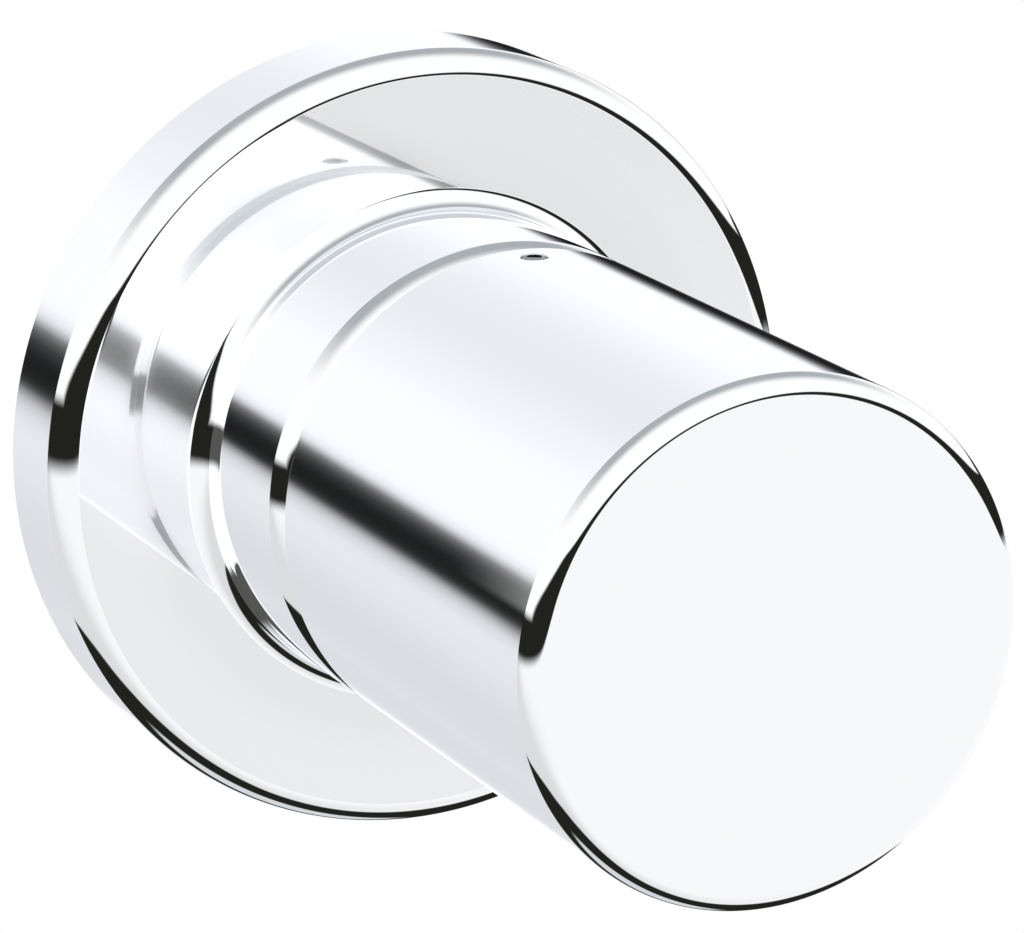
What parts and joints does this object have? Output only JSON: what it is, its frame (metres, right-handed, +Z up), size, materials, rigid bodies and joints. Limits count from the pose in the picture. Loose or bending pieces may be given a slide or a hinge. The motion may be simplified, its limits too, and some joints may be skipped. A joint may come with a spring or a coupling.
{
  "type": "concealed stop valve",
  "caption": "In-wall shut-off valve: two in-line pipe ports, a screw-down plunger on a seat, and a chrome cylinder handle on a sleeve and round wall rosette.",
  "frame": {"origin": "point where the handle's axis meets the finished wall, in the plane of the rosette's rear rim", "axes": "-Y out of the wall along the handle's axis, +Y into the wall, +Z up along the pipes towards the outlet"},
  "size_m": [0.075, 0.1417, 0.075],
  "materials": {
    "chrome": "mirror polished",
    "cast_brass": "sand cast",
    "turned_brass": "turned",
    "steel": "bright",
    "dark_steel": "bright",
    "white_plastic": "moulded",
    "black_rubber": "matt",
    "grey_rubber": "foam",
    "fibre": "matt"
  },
  "bodies": {
    "valve": {"valve_body": "cast_brass", "seat_ring": "steel", "headwork_housing": "turned_brass", "headwork_gasket": "fibre", "threaded_sleeve": "turned_brass", "rosette": "chrome", "rosette_seal": "grey_rubber", "cover_sleeve": "chrome", "sleeve_o_ring": "black_rubber", "glide_ring": "white_plastic"},
    "handle": {"headwork_spindle": "turned_brass", "spindle_o_rings": "black_rubber", "thrust_washer": "white_plastic", "spindle_circlip": "steel", "spindle_extension": "turned_brass", "handle_insert": "white_plastic", "clamp_screw": "steel", "handle_shell": "chrome", "grub_screw": "dark_steel"},
    "plunger": {"plunger": "turned_brass", "plunger_o_ring": "black_rubber", "seat_washer": "black_rubber", "washer_plate": "steel", "washer_screw": "steel"}
  },
  "joints": [
    {"name": "handle_turn", "type": "hinge", "parent": "valve", "child": "handle", "pos_m": [0, 0, 0], "axis": [0, -1, 0], "range_deg": [0, 900]},
    {"name": "plunger_lift", "type": "slide", "parent": "valve", "child": "plunger", "axis": [0, -1, 0], "range_m": [0, 0.005]}
  ],
  "couplings": [
    {"joint": "plunger_lift", "follows": "handle_turn", "m_per_rad": 0.0003183}
  ]
}
